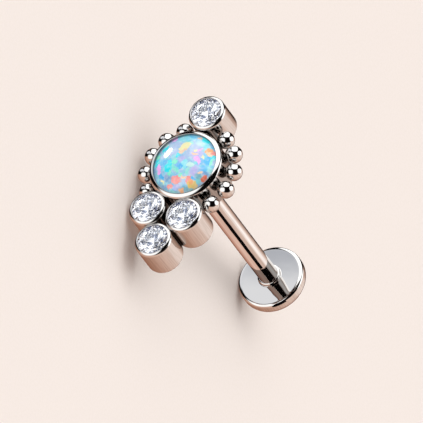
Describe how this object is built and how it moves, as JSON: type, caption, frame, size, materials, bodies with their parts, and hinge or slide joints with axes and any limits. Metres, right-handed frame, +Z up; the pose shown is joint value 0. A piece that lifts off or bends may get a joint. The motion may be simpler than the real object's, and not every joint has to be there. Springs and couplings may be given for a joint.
{
  "type": "labret stud",
  "caption": "Labret stud with a round opal in a beaded bezel, small round clear stones in cup settings and a straight post ending in a flat disc back, lying on its side.",
  "frame": {"origin": "middle of the stud's box, on the surface that it lies on", "axes": "the stud lies on its side: its decorated face looks towards -Y, the post runs towards +Y down to the disc, and +Z is up from the surface"},
  "size_m": [0.0106, 0.0154, 0.0066],
  "materials": {
    "polished_steel": "mirror polished surgical steel",
    "opal": "polished milky opal with patches of mint, blue, pink and orange fire",
    "clear_stone": "brilliant-cut cubic zirconia, polished"
  },
  "bodies": {
    "root": {"setting": "polished_steel", "opal_cabochon": "opal", "gem_top": "clear_stone", "gem_left": "clear_stone", "gem_right": "clear_stone", "gem_bottom": "clear_stone", "labret_post": "polished_steel"}
  },
  "joints": []
}
